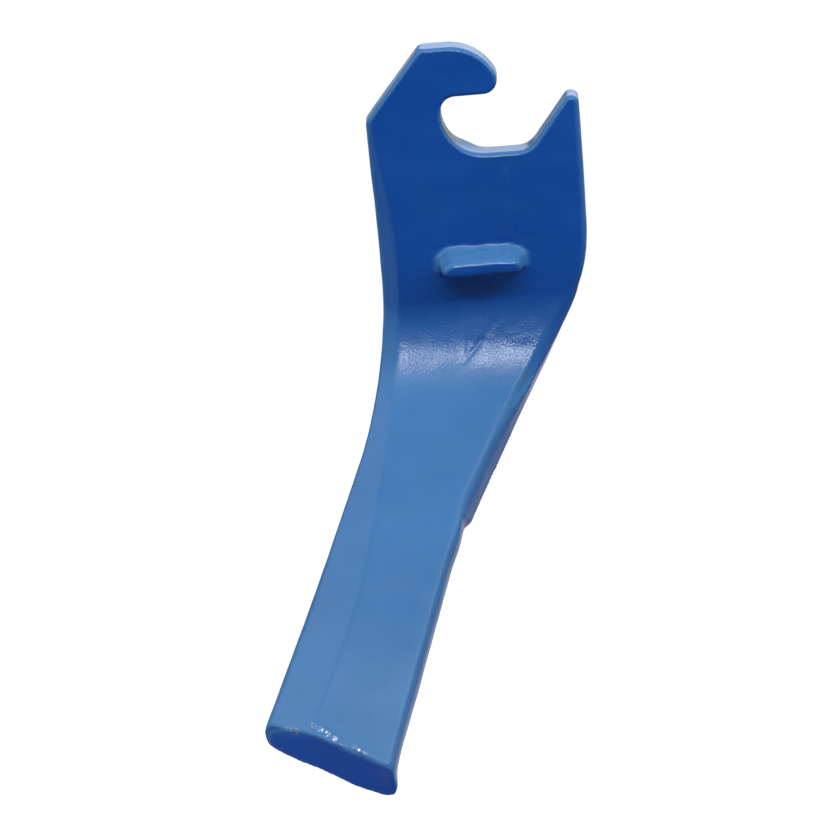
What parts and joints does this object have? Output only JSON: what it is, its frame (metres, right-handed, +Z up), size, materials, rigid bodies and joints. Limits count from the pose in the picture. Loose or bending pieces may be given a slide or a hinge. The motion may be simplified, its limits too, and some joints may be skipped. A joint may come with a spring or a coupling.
{
  "type": "power harrow knife tine",
  "caption": "Forged knife tine for a power harrow: flat head with a pin hook and horn, a stop lug on its front, and a blade that bends forward and runs out to a skewed, bevelled end.",
  "frame": {"origin": "centre of the pin seat's arc in the hook, on the flat back plane of the head", "axes": "+Z up the head towards the hook, +Y out of the flat back, -Y out of the front where the lug stands and to which the blade bends, -X towards the knife (leading) edge"},
  "size_m": [0.1685, 0.1456, 0.3273],
  "materials": {
    "blue_paint": "gloss"
  },
  "bodies": {
    "root": {"tine": "blue_paint"}
  },
  "joints": []
}
